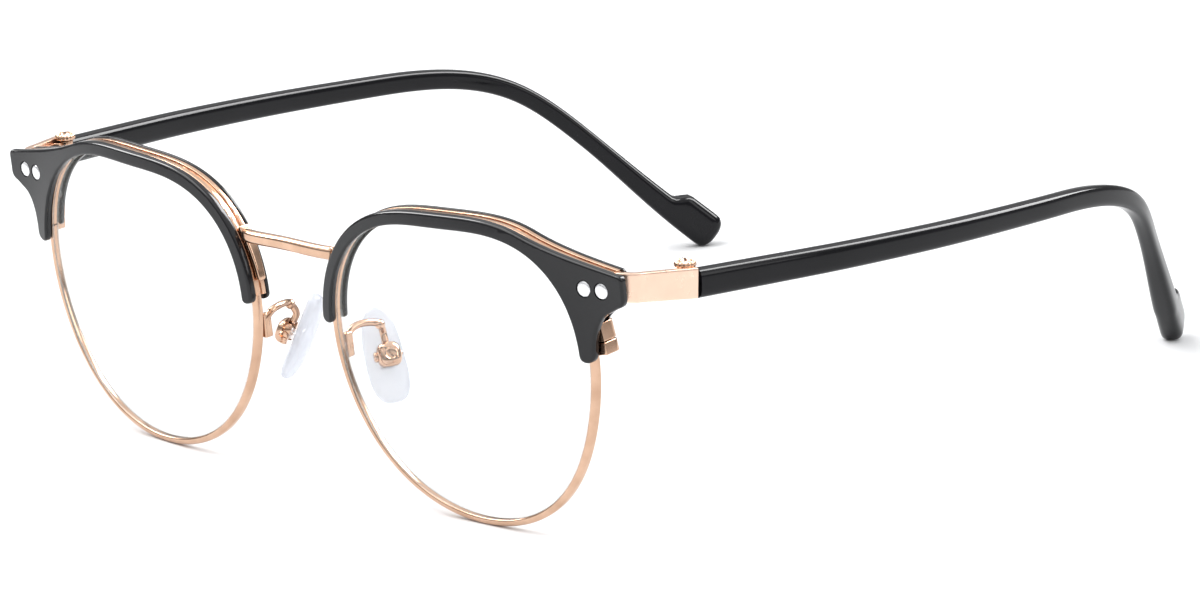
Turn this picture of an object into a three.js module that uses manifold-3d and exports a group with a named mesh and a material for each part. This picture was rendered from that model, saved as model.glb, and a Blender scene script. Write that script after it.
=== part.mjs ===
// Browline (half rim) eyeglasses. A thin metal eyewire runs all the way round each lens, and an
// acetate brow in two halves clasps its upper part. Two rivets pin the brow to an endpiece, which
// bends back to the hinge of a folding temple. Nose pads rock on wire arms behind the front.
// Millimetres. +Z is up, the front faces -Y, and +X is the right-hand side seen from the front.
import * as THREE from 'three';
import { mergeVertices } from 'three/addons/utils/BufferGeometryUtils.js';
import { TessellateModifier } from 'three/addons/modifiers/TessellateModifier.js';
import Module from 'manifold-3d';

const wasm = await Module();
wasm.setup();

const DEG = Math.PI / 180;

// Front: lens opening and how the two eyes stand to each other
const lensWidth = 51.2;
const lensHeight = 46.1;
const squareness = 0.5; // how much the oval leans towards a rounded square
const browFullness = 1.0; // how far the upper corners fill out and the bottom rounds down
const nasalLean = 0.3; // how much wider the nasal half is than the temporal half
const bridgeGap = 20.3; // between the two lens openings, at their nearest
const wrapAngle = 3.5; // temporal side of each lens turned back
const frontTilt = 4; // top of the lens tilted forward
const baseCurveRadius = 122; // curve of the whole front
const endFlattening = 0.013; // takes that curve out again beyond the lens
const flatteningStart = 25;
const longestFlatEdge = 7;

// Eyewire and lens
const rimHeight = 1.15;
const rimDepth = 1.4;
const grooveDepth = 0.45;
const lensThickness = 1.3;
const lensClearance = 0.15;

// Acetate brow, its metal top bar and its endpiece block
const seam = 0.1; // gap between pieces that are clamped or soldered together
const browLip = 0.4; // how far the acetate overhangs the lens
const browRise = 1.75; // top of the brow above the lens opening
const browFrontDepth = 1.1;
const browBackDepth = 0.6;
const barDepth = 2.0;
const barHeight = 0.5;
const nasalEndAngle = 171.5; // where the brow stops, counted from the temporal side
const flareAngle = 56; // where the brow leaves the round outline for the endpiece
const endpieceReach = 34; // from the lens centre
const endpieceTop = 18.4;
const endpieceBottom = 13.7;
const throatReach = 30.4; // notch between the endpiece block and the fang
const throatHeight = 12.1;
const fangTipHeight = 5.6; // above the lens centre
const fangWidth = 2.8;
const backReach = 31.9;
const backEndHeight = 7.4;

// Rivets
const rivetHeight = 15.7;
const rivetReach = 26.7;
const rivetPitch = 3.2;
const rivetHeadRadius = 1.15;
const rivetShaftRadius = 0.6;
const rivetHeadDepth = 0.4;
const rivetClearance = 0.08;

// Endpiece and hinge
const plateThickness = 1.2;
const plateLength = 11.3;
const plateHeightFront = 4.3;
const plateHeightBack = 4.5;
const plateSplay = 23.6; // outward, seen from above
const plateFall = 3.4; // downward, towards the back
const hingeInset = 2.6; // hinge axis inside the plate's outer face
const hingeSetback = 0.9; // hinge axis ahead of the plate's end
const knuckleRadius = 1.25;
const knuckleGap = 0.1;
const outerKnuckleHeight = 1.05;
const middleKnuckleHeight = 1.4;
const hingeScrewRadius = 0.65;
const screwClearance = 0.07;
const screwHeadRadius = 1.65;
const screwHeadHeight = 0.9;
const leafThickness = 0.7;
const leafLength = 8;

// Temple
const templeGap = 0.2; // between the endpiece and the temple
const templeStartHeight = 4.4;
const templeLowering = 0.34; // temple centreline below the hinge's middle
const templeThickness = 3.0;
const templeRun = 88; // straight part, front to back
const templeDropRun = 40.5; // bent part, front to back
const templeBow = 4.7; // how far the straight part bows outward
const tipInset = 17.6; // how far the tip curves back in
const tipFlare = 1.1; // gradual growth of the lower edge before the tip
const tipWidening = 2.1; // step out of the upper edge that makes the tip fuller
const tipLength = 9.5;
const tipRounding = 2.0;
const coreHeight = 1.0;
const coreThickness = 0.8;
const coreClearance = 0.15;

// Bridge
const bridgeHeight = 2.4;
const bridgeDepth = 1.7;
const bridgeLevel = 13.6; // above the lens centre
const bridgeBow = 0.9;
const bridgeLegThickness = 0.8;
const bridgeLegDepth = 1.6;

// Nose pads, placed from the middle of the bridge and the height of the lens centre
const padHalfLength = 7.7;
const padHalfWidth = 3.3;
const padThickness = 2.5;
const padOffset = 2.4; // pad's middle plane from the pad screw
const padArmRadius = 0.6;
const padStrapDepth = 1.6;
const padPivot = new THREE.Vector3(11.5, 9.7, -3.95);
const padLongAxis = new THREE.Vector3(-0.406, 0.133, 0.902).normalize();
const padFaceNormal = new THREE.Vector3(-0.8, 0.42, -0.427).normalize();

// Rim lock
const lockAngle = 15; // where the eyewire is split
const lockUpperHeight = 2.7;
const lockLowerHeight = 1.8;
const lockWidth = 2.4;
const lockDepth = 3.4;
const lockGap = 0.3;
const lockRoom = 0.3; // clearance of the rear brow half round the block

const roseGold = { color: 0xe0b494, roughness: 0.25, metalness: 1 };
const satinGold = { color: 0xecc4a6, roughness: 0.4, metalness: 1 };
const blackAcetate = { color: 0x1c1c1e, roughness: 0.18, metalness: 0 };
const polishedSteel = { color: 0xe8e8ea, roughness: 0.2, metalness: 1 };
const clearSilicone = { color: 0xe9edf6, roughness: 0.25, metalness: 0, transparent: true, opacity: 0.5 };
const clearLens = { color: 0xf4f8f6, roughness: 0.03, metalness: 0, transparent: true, opacity: 0.25 };

// ---- Solids ---------------------------------------------------------------------------------

function merged(geometry) {
  const plain = geometry.clone();
  plain.deleteAttribute('normal');
  plain.deleteAttribute('uv');
  return mergeVertices(plain, 1e-4);
}

function toSolid(geometry) {
  const plain = merged(geometry);
  const vertProperties = new Float32Array(plain.attributes.position.array);
  const triVerts = new Uint32Array(plain.index.array);
  return new wasm.Manifold(new wasm.Mesh({ numProp: 3, vertProperties, triVerts }));
}

function toGeometry(solid) {
  const mesh = solid.getMesh();
  const geometry = new THREE.BufferGeometry();
  geometry.setAttribute('position', new THREE.BufferAttribute(new Float32Array(mesh.vertProperties), 3));
  geometry.setIndex(new THREE.BufferAttribute(new Uint32Array(mesh.triVerts), 1));
  return geometry;
}

function join(...pieces) {
  return toGeometry(pieces.map(toSolid).reduce((whole, piece) => whole.add(piece)));
}

function cut(body, ...tools) {
  return toGeometry(tools.map(toSolid).reduce((rest, tool) => rest.subtract(tool), toSolid(body)));
}

// Moves every vertex by a function of its place.
function reshape(geometry, move) {
  const shaped = merged(geometry);
  const places = shaped.attributes.position;
  const point = new THREE.Vector3();
  for (let i = 0; i < places.count; i += 1) {
    point.fromBufferAttribute(places, i);
    move(point);
    places.setXYZ(i, point.x, point.y, point.z);
  }
  return shaped;
}

function mirrored(geometry) {
  const flipped = merged(geometry).scale(-1, 1, 1);
  const index = flipped.index.array;
  for (let i = 0; i < index.length; i += 3) {
    [index[i], index[i + 1]] = [index[i + 1], index[i]];
  }
  return flipped;
}

// A flat outline drawn in the lens plane, with its thickness running back from `front`.
function plateFromShape(shape, front, depth) {
  const options = { depth, bevelEnabled: false, curveSegments: 8 };
  return new THREE.ExtrudeGeometry(shape, options).rotateX(Math.PI / 2).translate(0, front + depth, 0);
}

// A round bar along Y, from `front` for `length`, centred on (x, z).
function barAlongY(radius, front, length, x, z, sides = 16) {
  return new THREE.CylinderGeometry(radius, radius, length, sides).translate(x, front + length / 2, z);
}

function barAlongZ(radius, bottom, length, x = 0, y = 0, sides = 16) {
  return new THREE.CylinderGeometry(radius, radius, length, sides)
    .rotateX(Math.PI / 2)
    .translate(x, y, bottom + length / 2);
}

// ---- Lens outline and curve of the front ----------------------------------------------------

// Distance from the lens centre to the edge of the opening. Angle 0 points to the temple side.
function openingRadius(angle) {
  const mean = (lensWidth + lensHeight) / 4 + squareness;
  const oval = (lensWidth - lensHeight) / 4;
  return mean + oval * Math.cos(2 * angle) - squareness * Math.cos(4 * angle)
    + browFullness * Math.sin(3 * angle) - nasalLean * Math.cos(3 * angle);
}

function outlinePoint(degrees, offset) {
  const angle = degrees * DEG;
  return new THREE.Vector2(Math.cos(angle), Math.sin(angle)).multiplyScalar(openingRadius(angle) + offset);
}

function outlineArc(from, to, offset, steps) {
  return Array.from({ length: steps + 1 }, (_, i) => outlinePoint(from + ((to - from) * i) / steps, offset));
}

function frontSag(x, z) {
  const r = Math.hypot(x, z);
  return (r * r) / (2 * baseCurveRadius) - endFlattening * Math.max(0, r - flatteningStart) ** 2;
}

// Bends a flat piece of the front to the base curve. Long faces are split first, so that they bend.
function curved(geometry) {
  const loose = merged(geometry).toNonIndexed();
  const split = new TessellateModifier(longestFlatEdge, 10).modify(loose);
  return reshape(split, (p) => { p.y += frontSag(p.x, p.z); });
}

// A closed section turned round the lens. Its points are (offset from the opening, depth).
function ringFromSection(section, segments) {
  const turningRadius = 100;
  const profile = section.map(([offset, depth]) => new THREE.Vector2(turningRadius + offset, depth));
  const ring = new THREE.LatheGeometry([...profile, profile[0]], segments);
  return reshape(ring, (p) => {
    const offset = Math.hypot(p.x, p.z) - turningRadius;
    const angle = Math.atan2(p.z, p.x);
    const r = openingRadius(angle) + offset;
    p.set(r * Math.cos(angle), p.y, r * Math.sin(angle));
  });
}

// ---- Eyewire, lens and rim lock -------------------------------------------------------------

const browFrontStart = -seam - barDepth / 2 + rimDepth / 2 - browFrontDepth;
const barStart = browFrontStart + browFrontDepth + seam;
const browBackStart = barStart + barDepth + seam;

function eyewire() {
  const middle = rimDepth / 2;
  const ring = ringFromSection([
    [0, 0], [rimHeight, 0], [rimHeight, rimDepth], [0, rimDepth],
    [0, middle + grooveDepth], [grooveDepth, middle], [0, middle - grooveDepth],
  ], 64);
  const split = new THREE.BoxGeometry(4 * rimHeight, 3 * rimDepth, lockGap)
    .rotateY(-lockAngle * DEG)
    .translate(...placeOnRim(lockAngle, rimHeight / 2, rimDepth / 2));
  return curved(cut(ring, split));
}

function placeOnRim(degrees, offset, depth) {
  const p = outlinePoint(degrees, offset);
  return [p.x, depth, p.y];
}

// The lens fills its opening and has a ridge that sits in the eyewire's groove.
function lens() {
  const middle = rimDepth / 2;
  const edge = 10;
  const ridge = grooveDepth - lensClearance;
  const rings = [0.45, 0.8];
  const front = middle - lensThickness / 2;
  const back = middle + lensThickness / 2;
  const profile = [
    new THREE.Vector2(0, front),
    ...rings.map((share) => new THREE.Vector2(edge * share, front)),
    new THREE.Vector2(edge, front),
    new THREE.Vector2(edge, middle - ridge),
    new THREE.Vector2(edge + ridge, middle),
    new THREE.Vector2(edge, middle + ridge),
    new THREE.Vector2(edge, back),
    ...rings.toReversed().map((share) => new THREE.Vector2(edge * share, back)),
    new THREE.Vector2(0, back),
  ];
  const disc = new THREE.LatheGeometry(profile, 48);
  const shaped = reshape(disc, (p) => {
    const radius = Math.hypot(p.x, p.z);
    const angle = Math.atan2(p.z, p.x);
    const rim = openingRadius(angle) - lensClearance;
    const r = radius <= edge ? (radius / edge) * rim : rim + radius - edge;
    p.set(r * Math.cos(angle), p.y, r * Math.sin(angle));
  });
  return reshape(shaped, (p) => { p.y += frontSag(p.x, p.z); });
}

// Half of the block that closes the eyewire: upper is +1, lower is -1.
function lockHalf(half) {
  const round = lockWidth / 2;
  const section = new THREE.Shape();
  section.moveTo(0, 0);
  section.lineTo(lockWidth, 0);
  section.lineTo(lockWidth, lockDepth - round);
  section.absarc(lockWidth - round, lockDepth - round, round, 0, Math.PI / 2, false);
  section.lineTo(0, lockDepth);
  const height = half > 0 ? lockUpperHeight : lockLowerHeight;
  const options = { depth: height, bevelEnabled: false, curveSegments: 5 };
  const block = new THREE.ExtrudeGeometry(section, options)
    .translate(0, 0, half > 0 ? lockGap / 2 : -lockGap / 2 - height);
  const bore = barAlongZ(lockScrewRadius + screwClearance, -height * 2, height * 4, ...lockScrewAt);
  const recess = barAlongZ(lockScrewRadius * 1.9, lockSeat, height, ...lockScrewAt);
  const drilled = half > 0 ? cut(block, bore, recess) : cut(block, bore);
  return standOnRim(drilled);
}

const lockScrewRadius = 0.5;
const lockScrewAt = [lockWidth / 2, lockDepth * 0.55];
const lockSeat = lockUpperHeight * 0.55; // height of the screw's seat above the split

function lockScrew() {
  const head = lockSeat + seam;
  const bottom = -lockGap / 2 - lockLowerHeight;
  const capHeight = 0.7;
  const shaft = barAlongZ(lockScrewRadius, bottom, head - bottom + 0.1, ...lockScrewAt);
  const cap = barAlongZ(lockScrewRadius * 1.7, head, capHeight, ...lockScrewAt);
  const slot = new THREE.BoxGeometry(lockScrewRadius * 4, 0.3, 0.3)
    .translate(lockScrewAt[0], lockScrewAt[1], head + capHeight);
  return standOnRim(cut(join(shaft, cap), slot));
}

// Puts a piece drawn at the origin on the outside of the eyewire, beside its split.
function standOnRim(geometry) {
  const [x, , z] = placeOnRim(lockAngle, rimHeight + seam, 0);
  const depth = frontSag(x, z);
  return geometry.rotateY(-(lockAngle - 4) * DEG).translate(x, depth, z);
}

// The room that the rear brow half leaves for the block.
function lockPocket() {
  const bottom = -lockGap / 2 - lockLowerHeight - lockRoom;
  const top = lockGap / 2 + lockUpperHeight + lockRoom;
  const width = lockWidth + 2 * lockRoom;
  return standOnRim(new THREE.BoxGeometry(width, 4 * lockDepth, top - bottom)
    .translate(width / 2 - lockRoom, 0, (top + bottom) / 2));
}

// ---- Brow -----------------------------------------------------------------------------------

function curvePoints(steps, ...controls) {
  const Curve = controls.length === 3 ? THREE.QuadraticBezierCurve : THREE.CubicBezierCurve;
  return new Curve(...controls).getPoints(steps);
}

// Top edge of the brow from its nasal end to the upper corner of the endpiece block.
function browTopEdge(reach, cornerRadius) {
  const start = outlinePoint(flareAngle, browRise);
  const corner = new THREE.Vector2(reach - cornerRadius, endpieceTop);
  const pull = new THREE.Vector2(
    THREE.MathUtils.lerp(start.x, corner.x, 0.39),
    THREE.MathUtils.lerp(start.y, corner.y, 0.64),
  );
  return [
    ...outlineArc(nasalEndAngle, flareAngle + 4, browRise, 24),
    ...curvePoints(10, start, pull, corner),
  ];
}

// Outline of one brow half: along the lens, round the lower end, up to the endpiece block and
// back over the top to the rounded nasal end.
function browShape({ reach, endHeight, endWidth }) {
  const upper = 1.0;
  const lower = 1.3;
  const endAngle = Math.asin(endHeight / openingRadius(12 * DEG)) / DEG;
  const inner = outlineArc(nasalEndAngle, endAngle, -browLip, 34);
  const heel = inner.at(-1);
  const toe = new THREE.Vector2(heel.x + endWidth, heel.y + 0.3);
  const drop = endWidth * 0.62;
  const throat = new THREE.Vector2(Math.min(throatReach, reach - 2), throatHeight);
  const foot = new THREE.Vector2(reach - lower, endpieceBottom - 0.35);
  const points = [
    ...inner,
    ...curvePoints(6, heel, new THREE.Vector2(heel.x + 0.1, heel.y - drop),
      new THREE.Vector2(toe.x - 0.1, toe.y - drop), toe).slice(1),
    ...curvePoints(6, toe, new THREE.Vector2(toe.x + 0.1, throat.y - 1.8), throat).slice(1),
    foot,
    ...curvePoints(4, foot, new THREE.Vector2(reach, endpieceBottom), new THREE.Vector2(reach, endpieceBottom + lower)).slice(1),
    ...curvePoints(4, new THREE.Vector2(reach, endpieceTop - upper), new THREE.Vector2(reach, endpieceTop),
      new THREE.Vector2(reach - upper, endpieceTop)),
    ...browTopEdge(reach, upper).toReversed().slice(1),
  ];
  const last = points.at(-1);
  const tangent = outlinePoint(nasalEndAngle + 1, 0).sub(outlinePoint(nasalEndAngle, 0)).normalize();
  const bulge = tangent.multiplyScalar((browRise + browLip) * 0.6);
  points.push(...curvePoints(6, last, last.clone().add(bulge), inner[0].clone().add(bulge), inner[0]).slice(1, -1));
  return new THREE.Shape(points);
}

function rivetPlaces() {
  return [0, 1].map((i) => [rivetReach + i * rivetPitch, rivetHeight]);
}

function browFront() {
  const shape = browShape({ reach: endpieceReach, endHeight: fangTipHeight, endWidth: fangWidth });
  const body = plateFromShape(shape, browFrontStart, browFrontDepth);
  const drills = rivetPlaces().flatMap(([x, z]) => [
    barAlongY(rivetShaftRadius + rivetClearance, browFrontStart - 1, browFrontDepth + 2, x, z),
    barAlongY(rivetHeadRadius + rivetClearance, browFrontStart - 1, 1 + rivetHeadDepth, x, z, 20),
  ]);
  return curved(cut(body, ...drills));
}

function browBack() {
  const shape = browShape({ reach: backReach, endHeight: backEndHeight, endWidth: fangWidth - 0.6 });
  const body = plateFromShape(shape, browBackStart, browBackDepth);
  const drills = rivetPlaces().map(([x, z]) =>
    barAlongY(rivetShaftRadius + rivetClearance, browBackStart - 1, browBackDepth + 2, x, z));
  return cut(curved(cut(body, ...drills)), lockPocket());
}

// Thin metal bar along the top, between the two brow halves.
function browBar() {
  const top = browTopEdge(backReach, 0.6);
  const under = top.map((point, i) => {
    const before = top[Math.max(0, i - 1)];
    const after = top[Math.min(top.length - 1, i + 1)];
    const along = after.clone().sub(before).normalize();
    return new THREE.Vector2(point.x + along.y * barHeight, point.y - along.x * barHeight);
  });
  return curved(plateFromShape(new THREE.Shape([...top, ...under.toReversed()]), barStart, barDepth));
}

function rivet([x, z]) {
  const length = browBackStart + browBackDepth - browFrontStart;
  const profile = [
    new THREE.Vector2(0, 0),
    new THREE.Vector2(rivetHeadRadius * 0.8, 0),
    new THREE.Vector2(rivetHeadRadius, 0.12),
    new THREE.Vector2(rivetHeadRadius, rivetHeadDepth - seam),
    new THREE.Vector2(rivetShaftRadius, rivetHeadDepth - seam),
    new THREE.Vector2(rivetShaftRadius, length),
    new THREE.Vector2(0, length),
  ];
  return curved(new THREE.LatheGeometry(profile, 16).translate(x, browFrontStart, z));
}

// ---- Placing the front ----------------------------------------------------------------------

const eye = new THREE.Group();
eye.rotation.set(frontTilt * DEG, 0, wrapAngle * DEG, 'XYZ');
eye.position.x = bridgeGap / 2 + openingRadius(Math.PI);
eye.updateMatrix();

function inEye(x, y, z) {
  return new THREE.Vector3(x, y + frontSag(x, z), z).applyMatrix4(eye.matrix);
}

// ---- Endpiece and hinge ---------------------------------------------------------------------

const tabEnd = endpieceReach - 0.9;
const plateMiddle = (endpieceTop + endpieceBottom) / 2 - 0.1;
const plateStart = inEye(tabEnd, barStart + 0.5, plateMiddle);

// Axes of the plate: along it to the back, outward from its outer face, and up.
const plateAxes = new THREE.Matrix4()
  .makeRotationZ(-plateSplay * DEG)
  .multiply(new THREE.Matrix4().makeRotationX(-plateFall * DEG))
  .setPosition(plateStart);

function onPlate(outward, along, up) {
  return new THREE.Vector3(outward, along, up).applyMatrix4(plateAxes);
}

function endpiece() {
  const tab = new THREE.Shape([
    new THREE.Vector2(rivetReach - 1.5, rivetHeight - 1.3),
    new THREE.Vector2(tabEnd, rivetHeight - 1.7),
    new THREE.Vector2(tabEnd, endpieceTop - barHeight - 3 * seam),
    new THREE.Vector2(rivetReach - 1.5, endpieceTop - barHeight - 3 * seam),
  ]);
  const drills = rivetPlaces().map(([x, z]) =>
    barAlongY(rivetShaftRadius + rivetClearance, barStart - 1, barDepth + 2, x, z));
  const tabBody = curved(cut(plateFromShape(tab, barStart, barDepth), ...drills)).applyMatrix4(eye.matrix);
  const side = new THREE.Shape([
    new THREE.Vector2(0, -plateHeightFront / 2),
    new THREE.Vector2(plateLength, -plateHeightBack / 2),
    new THREE.Vector2(plateLength, plateHeightBack / 2),
    new THREE.Vector2(0, plateHeightFront / 2),
  ]);
  const plate = new THREE.ExtrudeGeometry(side, { depth: plateThickness, bevelEnabled: false })
    .applyMatrix4(new THREE.Matrix4().makeBasis(
      new THREE.Vector3(0, 1, 0), new THREE.Vector3(0, 0, 1), new THREE.Vector3(1, 0, 0)))
    .translate(-plateThickness, 0, 0)
    .applyMatrix4(plateAxes);
  return join(tabBody, plate);
}

const hinge = onPlate(-hingeInset, plateLength - hingeSetback, 0);
const stackHeight = 2 * outerKnuckleHeight + middleKnuckleHeight + 2 * knuckleGap;
const stackBottom = -stackHeight / 2;

function knuckle(bottom, height) {
  return barAlongZ(knuckleRadius, bottom, height);
}

// Drawn with the hinge axis at the origin, and +Y along the plate.
function hingeFront() {
  const reach = hingeInset - plateThickness - 0.3; // outboard face of the leaf
  const leaf = new THREE.BoxGeometry(leafThickness, leafLength * 0.75, stackHeight)
    .translate(reach - leafThickness / 2, -leafLength * 0.375 - knuckleRadius - 0.2, 0);
  const ears = [stackBottom, -stackBottom - outerKnuckleHeight].flatMap((bottom) => [
    knuckle(bottom, outerKnuckleHeight),
    new THREE.BoxGeometry(reach + knuckleRadius * 0.5, knuckleRadius * 2, outerKnuckleHeight)
      .translate((reach - knuckleRadius * 0.5) / 2, -knuckleRadius, bottom + outerKnuckleHeight / 2),
  ]);
  const bore = barAlongZ(hingeScrewRadius + screwClearance, stackBottom - 1, stackHeight + 2);
  return cut(join(leaf, ...ears), bore);
}

function hingeScrew() {
  const top = -stackBottom + 0.5;
  const shaft = barAlongZ(hingeScrewRadius, stackBottom, top - stackBottom + screwHeadHeight / 3);
  const cap = new THREE.CylinderGeometry(screwHeadRadius * 0.8, screwHeadRadius, screwHeadHeight, 20)
    .rotateX(Math.PI / 2)
    .translate(0, 0, top + screwHeadHeight / 2);
  const slot = new THREE.BoxGeometry(screwHeadRadius * 3, 0.45, 0.6).translate(0, 0, top + screwHeadHeight);
  return cut(join(shaft, cap), slot);
}

// ---- Temple ---------------------------------------------------------------------------------

const templeStart = onPlate(-templeThickness / 2, plateLength + templeGap, 0);
const ground = -(openingRadius(-Math.PI / 2) + rimHeight) * Math.cos(frontTilt * DEG);
const hingeHeight = hinge.z - ground;

// Centreline: a gently bowed run to the ear, then a bend down and in to the tip.
function templePath() {
  const place = (outward, back, height) => new THREE.Vector3(
    templeStart.x + outward, templeStart.y + back, ground + hingeHeight * height - templeLowering);
  const onRun = (bow, back, height) => place(templeBow * bow, templeRun * back, height);
  const onDrop = (inset, back, height) => place(-tipInset * inset, templeRun + templeDropRun * back, height);
  return new THREE.CatmullRomCurve3([
    onRun(0, 0, 1),
    onRun(0.44, 0.16, 0.986),
    onRun(0.83, 0.33, 0.97),
    onRun(1, 0.57, 0.945),
    onRun(0.76, 0.83, 0.917),
    onRun(0.56, 0.91, 0.907),
    onRun(0.34, 0.989, 0.887),
    onDrop(0, 0.16, 0.843),
    onDrop(0.115, 0.317, 0.772),
    onDrop(0.265, 0.44, 0.672),
    onDrop(0.43, 0.56, 0.546),
    onDrop(0.74, 0.79, 0.295),
    onDrop(1.09, 1.043, 0.0345),
  ], false, 'centripetal');
}

const templeLength = templePath().getLength();

// Half height and half thickness of the temple at a share of its length, and how far the middle of
// the section lies above the centreline.
function templeSection(share) {
  const toEnd = (1 - share) * templeLength;
  const taper = THREE.MathUtils.lerp(templeStartHeight, templeStartHeight * 0.73, Math.min(share / 0.72, 1));
  const flare = tipFlare * THREE.MathUtils.smoothstep(-toEnd, -30, -4);
  const widening = tipWidening * THREE.MathUtils.smoothstep(-toEnd, -tipLength - 2, -tipLength + 2);
  const thinning = THREE.MathUtils.lerp(1, 0.95, Math.min(share / 0.5, 1));
  const swelling = 1 + 0.42 * THREE.MathUtils.smoothstep(-toEnd, -34, -8);
  const fromRound = Math.min(toEnd / tipRounding, 1);
  const rounding = Math.max(0.4, Math.sqrt(1 - (1 - fromRound) ** 2));
  return [
    ((taper + flare + widening) / 2) * rounding,
    ((templeThickness * thinning * swelling) / 2) * rounding,
    (widening - flare) / 2,
  ];
}

// A bar of unit section laid along the temple's path; `size` gives its half height and thickness.
// Stations crowd towards the end as `crowding` grows.
function alongTemple(shape, from, to, steps, size, crowding = 1) {
  const path = templePath();
  const bar = new THREE.ExtrudeGeometry(shape, { depth: 1, steps, bevelEnabled: false, curveSegments: 2 });
  return reshape(bar, (p) => {
    const share = THREE.MathUtils.lerp(from, to, 1 - (1 - p.z) ** crowding);
    const [halfHeight, halfThickness, lift = 0] = size(share);
    const along = path.getTangentAt(share);
    const outward = new THREE.Vector3().crossVectors(along, new THREE.Vector3(0, 0, 1)).normalize();
    const up = new THREE.Vector3().crossVectors(outward, along);
    const place = path.getPointAt(share);
    const across = -p.x * halfThickness;
    const rise = p.y * halfHeight + lift;
    p.copy(place).addScaledVector(outward, across).addScaledVector(up, rise);
  });
}

function roundedSquare(corner) {
  const shape = new THREE.Shape();
  const flat = 1 - corner;
  shape.absarc(flat, flat, corner, 0, Math.PI / 2, false);
  shape.absarc(-flat, flat, corner, Math.PI / 2, Math.PI, false);
  shape.absarc(-flat, -flat, corner, Math.PI, 1.5 * Math.PI, false);
  shape.absarc(flat, -flat, corner, 1.5 * Math.PI, 2 * Math.PI, false);
  return shape;
}

function square() {
  return new THREE.Shape([[1, 1], [-1, 1], [-1, -1], [1, -1]].map(([x, y]) => new THREE.Vector2(x, y)));
}

const coreStart = 0.075;
const coreEnd = 0.93;

// The leaf rolls off the middle knuckle and is buried in the temple's front end.
function leafSolid(growth, backward) {
  const knuckleBottom = -middleKnuckleHeight / 2;
  const along = templePath().getTangentAt(0.03);
  const turn = Math.atan2(-along.x, along.y);
  const leaf = new THREE.BoxGeometry(leafThickness + 2 * growth, leafLength + backward, middleKnuckleHeight + 2 * growth)
    .translate(knuckleRadius - leafThickness / 2, (leafLength + backward) / 2, 0);
  const roll = barAlongZ(knuckleRadius + growth, knuckleBottom - growth, middleKnuckleHeight + 2 * growth);
  return join(leaf, roll).rotateZ(turn).translate(hinge.x, hinge.y, hinge.z);
}

function hingeRear() {
  const bottom = hinge.z - stackHeight;
  const bore = barAlongZ(hingeScrewRadius + screwClearance, bottom, 2 * stackHeight, hinge.x, hinge.y);
  return cut(leafSolid(0, 0), bore);
}

function temple() {
  const body = alongTemple(roundedSquare(0.35), 0, 1, 34, templeSection, 1.6);
  const barrelRoom = barAlongZ(knuckleRadius + 0.2, hinge.z - 10, 20, hinge.x, hinge.y, 20);
  const channel = alongTemple(square(), 0.05, coreEnd + 0.01, 24, () => [
    coreHeight / 2 + coreClearance, coreThickness / 2 + coreClearance,
  ]);
  return cut(body, barrelRoom, leafSolid(0.15, 0.6), channel);
}

function templeCore() {
  return alongTemple(square(), coreStart, coreEnd, 24, () => [coreHeight / 2, coreThickness / 2]);
}

// ---- Bridge ---------------------------------------------------------------------------------

function bridge() {
  const legFrom = 151;
  const legTo = 167;
  const legOffset = browRise + seam;
  const legShape = new THREE.Shape([
    ...outlineArc(legFrom, legTo, legOffset, 8),
    ...outlineArc(legTo, legFrom, legOffset + bridgeLegThickness, 8),
  ]);
  const leg = curved(plateFromShape(legShape, barStart + 0.2, bridgeLegDepth)).applyMatrix4(eye.matrix);
  const root = outlinePoint(legFrom + 1, legOffset + bridgeLegThickness / 2);
  const end = inEye(root.x, barStart + 0.6, root.y);
  const path = new THREE.CatmullRomCurve3([
    new THREE.Vector3(-end.x, end.y, end.z),
    new THREE.Vector3(-end.x * 0.7, end.y - bridgeBow * 0.7, end.z + 0.1),
    new THREE.Vector3(0, end.y - bridgeBow, end.z + 0.3),
    new THREE.Vector3(end.x * 0.7, end.y - bridgeBow * 0.7, end.z + 0.1),
    new THREE.Vector3(end.x, end.y, end.z),
  ]);
  const section = new THREE.Shape();
  section.absellipse(0, 0, bridgeHeight / 2, bridgeDepth / 2, 0, 2 * Math.PI, false, 0);
  const bar = new THREE.ExtrudeGeometry(section, { steps: 16, extrudePath: path, curveSegments: 6 });
  return join(bar, leg, mirrored(leg));
}

// ---- Nose pads ------------------------------------------------------------------------------

// Axes of the pad: across it (the pad screw), along it, and out of its nose side.
const padAcross = new THREE.Vector3().crossVectors(padLongAxis, padFaceNormal).normalize();
const padFrame = new THREE.Matrix4()
  .makeBasis(padAcross, padLongAxis, new THREE.Vector3().crossVectors(padAcross, padLongAxis))
  .setPosition(padPivot);

const boxAcross = 3.8;
const boxLength = 4.0;
const boxWall = 0.5;
const boxBack = -1.7;
const boxMouth = 0.65;
const bossAcross = boxAcross - 2 * boxWall - 0.2;
const bossRadius = 0.75;
const padScrewRadius = 0.4;

function padBox() {
  const outline = new THREE.Shape();
  outline.absellipse(0, 0, boxAcross / 2, boxLength / 2, 0, 2 * Math.PI, false, 0);
  const cup = new THREE.ExtrudeGeometry(outline, { depth: boxMouth - boxBack, bevelEnabled: false, curveSegments: 5 })
    .translate(0, 0, boxBack);
  const hollow = new THREE.BoxGeometry(bossAcross + 0.2, boxLength * 2, 4).translate(0, 0, 2 - bossRadius - 0.15);
  const bore = new THREE.CylinderGeometry(padScrewRadius + screwClearance, padScrewRadius + screwClearance, 9, 12)
    .rotateZ(Math.PI / 2);
  return cut(cup, hollow, bore).applyMatrix4(padFrame);
}

function padScrew() {
  const length = boxAcross + 0.4;
  const shaft = new THREE.CylinderGeometry(padScrewRadius, padScrewRadius, length, 12).rotateZ(Math.PI / 2);
  const head = new THREE.CylinderGeometry(padScrewRadius * 1.9, padScrewRadius * 1.9, 0.45, 12)
    .rotateZ(Math.PI / 2)
    .translate(length / 2 + 0.1, 0, 0);
  return join(shaft, head).applyMatrix4(padFrame);
}

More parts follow.
